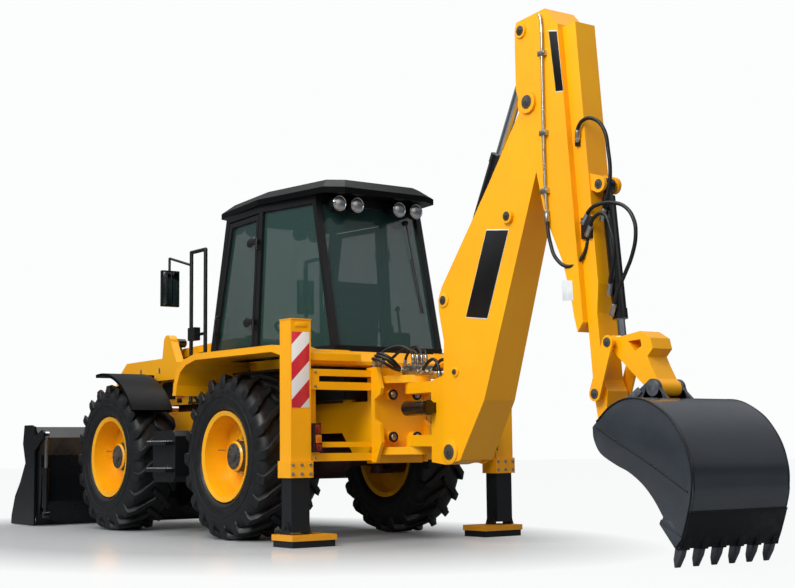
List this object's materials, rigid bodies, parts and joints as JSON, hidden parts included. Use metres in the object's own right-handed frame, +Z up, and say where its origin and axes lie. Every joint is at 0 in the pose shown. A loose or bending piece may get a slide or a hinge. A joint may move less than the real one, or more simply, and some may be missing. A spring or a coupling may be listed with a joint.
{
  "type": "backhoe loader",
  "caption": "Backhoe loader: steered wheels all of one size, glazed cab, clam shovel on lift arms in front, side shifting backhoe with sliding stick and vertical stabilisers behind.",
  "frame": {"origin": "middle of the overall box at ground level, stabiliser pads and tyres standing on it", "axes": "+X forwards to the shovel, +Y to the machine's left, +Z up"},
  "size_m": [8.9, 2.44, 3.88],
  "materials": {
    "yellow_paint": "gloss",
    "black_paint": "satin",
    "bucket_paint": "satin",
    "axle_paint": "satin",
    "leg_paint": "satin",
    "engine_iron": "matt",
    "chrome_rod": "polished",
    "tyre_rubber": "matt",
    "window_glass": "tinted",
    "cab_trim": "matt",
    "roof_plastic": "satin",
    "lamp_lens": "clear"
  },
  "bodies": {
    "chassis": {"chassis_frame": "yellow_paint", "powertrain": "engine_iron", "axles": "axle_paint", "stabiliser_frame": "yellow_paint", "side_tanks": "black_paint", "cab_frame": "black_paint", "cab_roof": "roof_plastic", "cab_glass": "window_glass", "cab_interior": "cab_trim", "rear_fenders": "yellow_paint", "handrails": "black_paint", "lamps": "lamp_lens"},
    "knuckle_front_left": {"knuckle_front_left": "axle_paint", "front_fender_left": "black_paint"},
    "wheel_front_left": {"tyre_front_left": "tyre_rubber", "rim_front_left": "yellow_paint"},
    "knuckle_front_right": {"knuckle_front_right": "axle_paint", "front_fender_right": "black_paint"},
    "wheel_front_right": {"tyre_front_right": "tyre_rubber", "rim_front_right": "yellow_paint"},
    "knuckle_rear_left": {"knuckle_rear_left": "axle_paint"},
    "wheel_rear_left": {"tyre_rear_left": "tyre_rubber", "rim_rear_left": "yellow_paint"},
    "knuckle_rear_right": {"knuckle_rear_right": "axle_paint"},
    "wheel_rear_right": {"tyre_rear_right": "tyre_rubber", "rim_rear_right": "yellow_paint"},
    "door_left": {"door_left": "black_paint", "door_glass_left": "window_glass"},
    "door_right": {"door_right": "black_paint", "door_glass_right": "window_glass"},
    "hood": {"hood": "yellow_paint"},
    "loader_arms": {"loader_arms": "yellow_paint"},
    "shovel": {"shovel": "bucket_paint"},
    "clam": {"clam": "bucket_paint"},
    "lift_barrels": {"lift_barrels": "black_paint"},
    "lift_rods": {"lift_rods": "chrome_rod"},
    "tilt_barrels": {"tilt_barrels": "black_paint"},
    "tilt_rods": {"tilt_rods": "chrome_rod"},
    "clam_barrels": {"clam_barrels": "black_paint"},
    "clam_rods": {"clam_rods": "chrome_rod"},
    "stabiliser_leg_left": {"stabiliser_leg_left": "leg_paint"},
    "stabiliser_leg_right": {"stabiliser_leg_right": "leg_paint"},
    "carriage": {"carriage": "yellow_paint"},
    "kingpost": {"kingpost": "yellow_paint", "slew_rams": "black_paint"},
    "boom": {"boom": "yellow_paint"},
    "boom_barrel": {"boom_barrel": "black_paint"},
    "boom_rod": {"boom_rod": "chrome_rod"},
    "dipper_barrel": {"dipper_barrel": "black_paint"},
    "dipper_rod": {"dipper_rod": "chrome_rod"},
    "dipper": {"dipper": "yellow_paint"},
    "slider": {"slider": "yellow_paint"},
    "bucket_barrel": {"bucket_barrel": "black_paint"},
    "bucket_rod": {"bucket_rod": "chrome_rod"},
    "lever": {"lever": "yellow_paint"},
    "link": {"link": "yellow_paint"},
    "bucket": {"bucket": "bucket_paint"}
  },
  "joints": [
    {"name": "steer_front_left", "type": "hinge", "parent": "chassis", "child": "knuckle_front_left", "pos_m": [2.52, 0.56, 0.697], "axis": [0, 0, 1], "range_deg": [-20, 20]},
    {"name": "spin_front_left", "type": "hinge", "parent": "knuckle_front_left", "child": "wheel_front_left", "pos_m": [2.52, 0.83, 0.697], "axis": [0, 1, 0], "continuous": true},
    {"name": "steer_front_right", "type": "hinge", "parent": "chassis", "child": "knuckle_front_right", "pos_m": [2.52, -0.56, 0.697], "axis": [0, 0, 1], "range_deg": [-20, 20]},
    {"name": "spin_front_right", "type": "hinge", "parent": "knuckle_front_right", "child": "wheel_front_right", "pos_m": [2.52, -0.83, 0.697], "axis": [0, 1, 0], "continuous": true},
    {"name": "steer_rear_left", "type": "hinge", "parent": "chassis", "child": "knuckle_rear_left", "pos_m": [0.3, 0.56, 0.697], "axis": [0, 0, 1], "range_deg": [-20, 20]},
    {"name": "spin_rear_left", "type": "hinge", "parent": "knuckle_rear_left", "child": "wheel_rear_left", "pos_m": [0.3, 0.83, 0.697], "axis": [0, 1, 0], "continuous": true},
    {"name": "steer_rear_right", "type": "hinge", "parent": "chassis", "child": "knuckle_rear_right", "pos_m": [0.3, -0.56, 0.697], "axis": [0, 0, 1], "range_deg": [-20, 20]},
    {"name": "spin_rear_right", "type": "hinge", "parent": "knuckle_rear_right", "child": "wheel_rear_right", "pos_m": [0.3, -0.83, 0.697], "axis": [0, 1, 0], "continuous": true},
    {"name": "door_left_hinge", "type": "hinge", "parent": "chassis", "child": "door_left", "pos_m": [0.29673, 0.72562, 2.172], "axis": [-0.0051, -0.0485, 0.9988], "range_deg": [0, 75]},
    {"name": "door_right_hinge", "type": "hinge", "parent": "chassis", "child": "door_right", "pos_m": [0.29673, -0.72562, 2.172], "axis": [0.0051, -0.0485, -0.9988], "range_deg": [0, 75]},
    {"name": "hood_hinge", "type": "hinge", "parent": "chassis", "child": "hood", "pos_m": [1.282, 0, 1.8], "axis": [0, -1, 0], "range_deg": [0, 35]},
    {"name": "arm_lift", "type": "hinge", "parent": "chassis", "child": "loader_arms", "pos_m": [1.38, 0, 1.5], "axis": [0, -1, 0], "range_deg": [-3, 46]},
    {"name": "lift_barrel_swing", "type": "hinge", "parent": "chassis", "child": "lift_barrels", "pos_m": [1.5, 0, 0.985], "axis": [0, -1, 0], "range_deg": [-3, 35]},
    {"name": "lift_rod_slide", "type": "slide", "parent": "lift_barrels", "child": "lift_rods", "axis": [0.8408, 0, 0.5413], "range_m": [-0.03, 0.36]},
    {"name": "shovel_dump", "type": "hinge", "parent": "loader_arms", "child": "shovel", "pos_m": [3.58, 0, 0.28], "axis": [0, 1, 0], "range_deg": [-24, 60]},
    {"name": "tilt_barrel_swing", "type": "hinge", "parent": "loader_arms", "child": "tilt_barrels", "pos_m": [2.28, 0, 1.8], "axis": [0, 1, 0], "range_deg": [-5, 3]},
    {"name": "tilt_rod_slide", "type": "slide", "parent": "tilt_barrels", "child": "tilt_rods", "axis": [0.8207, 0, -0.5714], "range_m": [-0.22, 0.53]},
    {"name": "clam_open", "type": "hinge", "parent": "shovel", "child": "clam", "pos_m": [4, 0, 0.774], "axis": [0, -1, 0], "range_deg": [0, 45]},
    {"name": "clam_barrel_swing", "type": "hinge", "parent": "shovel", "child": "clam_barrels", "pos_m": [3.67, 0, 0.12], "axis": [0, -1, 0], "range_deg": [0, 5]},
    {"name": "clam_rod_slide", "type": "slide", "parent": "clam_barrels", "child": "clam_rods", "axis": [0, 0, 1], "range_m": [-0.29, 0]},
    {"name": "stabiliser_left", "type": "slide", "parent": "chassis", "child": "stabiliser_leg_left", "axis": [0, 0, -1], "range_m": [-0.34, 0.18]},
    {"name": "stabiliser_right", "type": "slide", "parent": "chassis", "child": "stabiliser_leg_right", "axis": [0, 0, -1], "range_m": [-0.34, 0.18]},
    {"name": "side_shift", "type": "slide", "parent": "chassis", "child": "carriage", "axis": [0, 1, 0], "range_m": [-0.67, 0.49]},
    {"name": "slew", "type": "hinge", "parent": "carriage", "child": "kingpost", "pos_m": [-1.17, 0.09, 1], "axis": [0, 0, -1], "range_deg": [-85, 85]},
    {"name": "boom_lift", "type": "hinge", "parent": "kingpost", "child": "boom", "pos_m": [-1.77, 0.09, 0.717], "axis": [0, 1, 0], "range_deg": [-100, 12]},
    {"name": "boom_barrel_swing", "type": "hinge", "parent": "kingpost", "child": "boom_barrel", "pos_m": [-1.756, 0.09, 1.216], "axis": [0, 1, 0], "range_deg": [-105, 13]},
    {"name": "boom_rod_slide", "type": "slide", "parent": "boom_barrel", "child": "boom_rod", "axis": [-0.5003, 0, 0.8659], "range_m": [-0.09, 0.74]},
    {"name": "dipper_out", "type": "hinge", "parent": "boom", "child": "dipper", "pos_m": [-2.72, 0.09, 3.23], "axis": [0, 1, 0], "range_deg": [-5, 105]},
    {"name": "dipper_barrel_swing", "type": "hinge", "parent": "boom", "child": "dipper_barrel", "pos_m": [-1.69, 0.09, 1.88], "axis": [0, 1, 0], "range_deg": [-1, 9]},
    {"name": "dipper_rod_slide", "type": "slide", "parent": "dipper_barrel", "child": "dipper_rod", "axis": [-0.4532, 0, 0.8914], "range_m": [-0.85, 0.05]},
    {"name": "stick_extend", "type": "slide", "parent": "dipper", "child": "slider", "axis": [-0.0872, 0, -0.9962], "range_m": [0, 1.2]},
    {"name": "bucket_curl", "type": "hinge", "parent": "slider", "child": "bucket", "pos_m": [-3.4, 0.09, 0.85], "axis": [0, -1, 0], "range_deg": [-5, 115]},
    {"name": "lever_swing", "type": "hinge", "parent": "slider", "child": "lever", "pos_m": [-3.33, 0.09, 1.1], "axis": [0, -1, 0], "range_deg": [-6, 128]},
    {"name": "link_swing", "type": "hinge", "parent": "lever", "child": "link", "pos_m": [-3.46, 0.09, 1.44], "axis": [0, -1, 0], "range_deg": [-68, 3]},
    {"name": "bucket_barrel_swing", "type": "hinge", "parent": "slider", "child": "bucket_barrel", "pos_m": [-3.35, 0.09, 2.539], "axis": [0, -1, 0], "range_deg": [-5, 1]},
    {"name": "bucket_rod_slide", "type": "slide", "parent": "bucket_barrel", "child": "bucket_rod", "axis": [-0.0996, 0, -0.995], "range_m": [-0.03, 0.64]}
  ],
  "couplings": [
    {"joint": "steer_front_right", "follows": "steer_front_left", "ratio": 1},
    {"joint": "steer_rear_right", "follows": "steer_rear_left", "ratio": 1},
    {"joint": "lift_barrel_swing", "follows": "arm_lift", "ratio": 0.7167},
    {"joint": "lift_rod_slide", "follows": "arm_lift", "m_per_rad": 0.4388},
    {"joint": "tilt_barrel_swing", "follows": "shovel_dump", "ratio": -0.0507},
    {"joint": "tilt_rod_slide", "follows": "shovel_dump", "m_per_rad": 0.4965},
    {"joint": "clam_barrel_swing", "follows": "clam_open", "ratio": 0.0715},
    {"joint": "clam_rod_slide", "follows": "clam_open", "m_per_rad": -0.3533},
    {"joint": "boom_barrel_swing", "follows": "boom_lift", "ratio": 1.0421},
    {"joint": "boom_rod_slide", "follows": "boom_lift", "m_per_rad": -0.418},
    {"joint": "dipper_barrel_swing", "follows": "dipper_out", "ratio": 0.0771},
    {"joint": "dipper_rod_slide", "follows": "dipper_out", "m_per_rad": -0.4568},
    {"joint": "lever_swing", "follows": "bucket_curl", "ratio": 1.11},
    {"joint": "link_swing", "follows": "bucket_curl", "ratio": -0.59},
    {"joint": "bucket_barrel_swing", "follows": "bucket_curl", "ratio": -0.04},
    {"joint": "bucket_rod_slide", "follows": "bucket_curl", "m_per_rad": 0.315}
  ]
}
